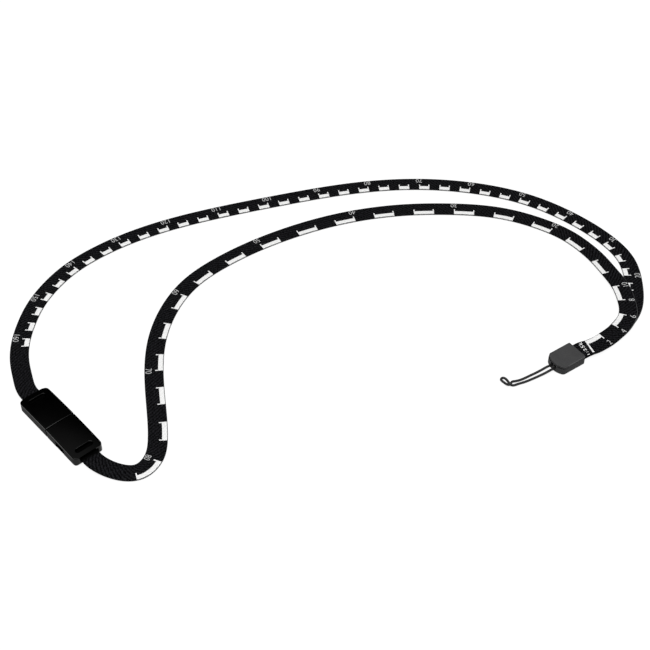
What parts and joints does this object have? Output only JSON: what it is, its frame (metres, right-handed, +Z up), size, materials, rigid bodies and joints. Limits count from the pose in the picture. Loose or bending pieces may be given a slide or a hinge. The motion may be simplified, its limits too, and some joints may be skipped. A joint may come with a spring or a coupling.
{
  "type": "neck lanyard",
  "caption": "Flat neck lanyard with printed distance scales, a pull-apart safety buckle and an end block that carries a thin cord loop.",
  "frame": {"origin": "middle of the lanyard's footprint, on the surface it lies on", "axes": "+Z up from the surface, +X along the longer side of the footprint from the buckle towards the end block"},
  "size_m": [0.2262, 0.1525, 0.0042],
  "materials": {
    "webbing": "fine diagonal weave, matt, with white printed scales",
    "buckle_plastic": "fine matt moulded texture",
    "block_plastic": "fine matt moulded texture",
    "cord": "thin braid, matt"
  },
  "bodies": {
    "lanyard": {"strap_25k": "webbing", "strap_50k": "webbing", "buckle_socket": "buckle_plastic", "socket_clamp_bar": "buckle_plastic", "end_block_tub": "block_plastic", "end_block_lid": "block_plastic", "cord_loop": "cord", "far_cord_knot": "cord", "near_cord_knot": "cord"},
    "plug": {"buckle_plug": "buckle_plastic", "plug_clamp_bar": "buckle_plastic"}
  },
  "joints": [
    {"name": "plug_pull", "type": "slide", "parent": "lanyard", "child": "plug", "axis": [-0.6574, 0.7536, 0], "range_m": [0, 0.012], "deforming": ["strap_50k"]}
  ]
}
